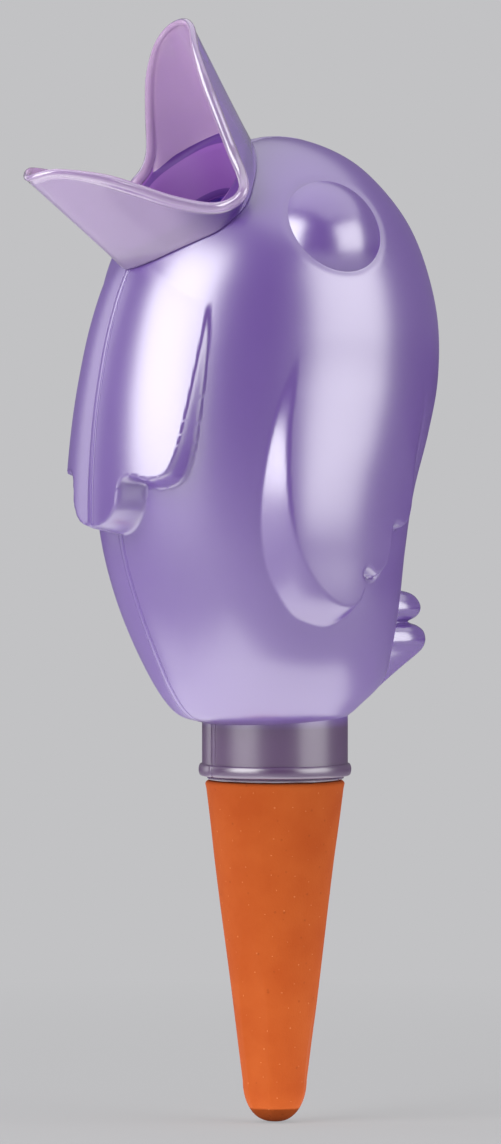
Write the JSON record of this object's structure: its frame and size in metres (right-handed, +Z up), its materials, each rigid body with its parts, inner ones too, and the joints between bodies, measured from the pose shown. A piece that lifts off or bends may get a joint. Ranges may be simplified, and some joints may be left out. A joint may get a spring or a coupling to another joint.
{
  "type": "bird-shaped watering spike",
  "caption": "Hollow bird-shaped water dispenser for plant pots: an open beak is the filling funnel, the body holds water and a porous clay cone below feeds it to the soil.",
  "frame": {"origin": "on the spike's axis at the top of the clay cone's shoulder, level with the soil when the cone is pushed in", "axes": "+Z up along the spike's axis, beak towards -Y, the bird's left side towards +X"},
  "size_m": [0.0816, 0.1131, 0.2717],
  "materials": {
    "pearl_shell": "frosted pearl lilac, slightly translucent",
    "clear_beak": "clear glossy lilac",
    "seal": "clear silicone",
    "clay": "unglazed terracotta"
  },
  "bodies": {
    "spike": {"terracotta_cone": "clay", "neck_seal": "seal"},
    "bird": {"left_shell": "pearl_shell", "right_shell": "pearl_shell"},
    "beak": {"beak_funnel": "clear_beak"}
  },
  "joints": [
    {"name": "bird_lift", "type": "slide", "parent": "spike", "child": "bird", "axis": [0, 0, 1], "range_m": [0, 0.025]},
    {"name": "beak_pull", "type": "slide", "parent": "bird", "child": "beak", "axis": [0, -0.66, 0.7513], "range_m": [0, 0.025]}
  ]
}
